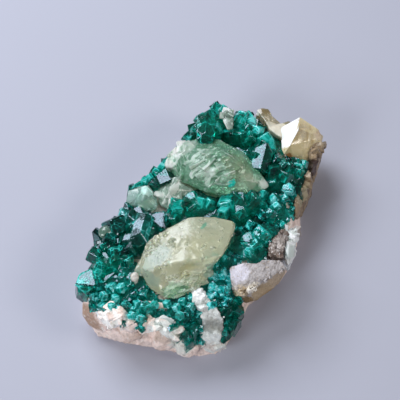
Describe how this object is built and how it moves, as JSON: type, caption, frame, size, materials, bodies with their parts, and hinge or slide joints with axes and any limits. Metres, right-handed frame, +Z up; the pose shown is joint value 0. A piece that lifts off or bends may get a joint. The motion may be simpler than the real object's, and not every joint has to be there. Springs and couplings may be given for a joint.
{
  "type": "dioptase crystal specimen",
  "caption": "Emerald-green dioptase crystals crusting a loose piece of pale matrix round clear, honey and white calcite crystals, lying on a flat underside.",
  "frame": {"origin": "middle of the footprint, on the flat underside", "axes": "+X along the specimen's long way, +Y across it, +Z up out of the flat underside"},
  "size_m": [0.0786, 0.047, 0.0226],
  "materials": {
    "dioptase": "vitreous emerald-green crystal faces",
    "calcite_green": "translucent pale green, rippled and partly frosted",
    "calcite_yellow": "translucent pale yellow-green, partly frosted",
    "calcite_honey": "translucent honey-tan cleavage faces",
    "calcite_white": "frosted white",
    "calcite_grey": "fine rough grey with glittering broken edges",
    "matrix": "rough broken pinkish-white and tan rock"
  },
  "bodies": {
    "root": {"matrix_rock": "matrix", "calcite_upper": "calcite_green", "calcite_lower": "calcite_yellow", "calcite_left_outer": "calcite_green", "calcite_left_inner": "calcite_green", "calcite_honey": "calcite_honey", "calcite_honey_flank": "calcite_honey", "calcite_grey_block": "calcite_grey", "calcite_brown_wedge": "calcite_grey", "calcite_white_slab": "calcite_white", "calcite_ridge": "calcite_white", "calcite_blade": "calcite_green", "calcite_knob_rim": "calcite_white", "calcite_knob_tip": "calcite_white", "calcite_chip": "calcite_green", "calcite_brown_flank": "calcite_honey", "dioptase_lying_prism": "dioptase", "dioptase_rim_left": "dioptase", "dioptase_rim_upper": "dioptase", "dioptase_field_left": "dioptase", "dioptase_field_front": "dioptase", "dioptase_field_lower": "dioptase", "dioptase_tongue": "dioptase", "dioptase_bottom_right": "dioptase", "dioptase_inner_right": "dioptase", "dioptase_saddle": "dioptase", "dioptase_middle": "dioptase", "dioptase_right_front": "dioptase", "dioptase_right_rim": "dioptase", "dioptase_shoulder_front": "dioptase", "dioptase_shoulder_back": "dioptase", "dioptase_crest": "dioptase", "dioptase_tip": "dioptase", "dioptase_edge_row": "dioptase"}
  },
  "joints": []
}
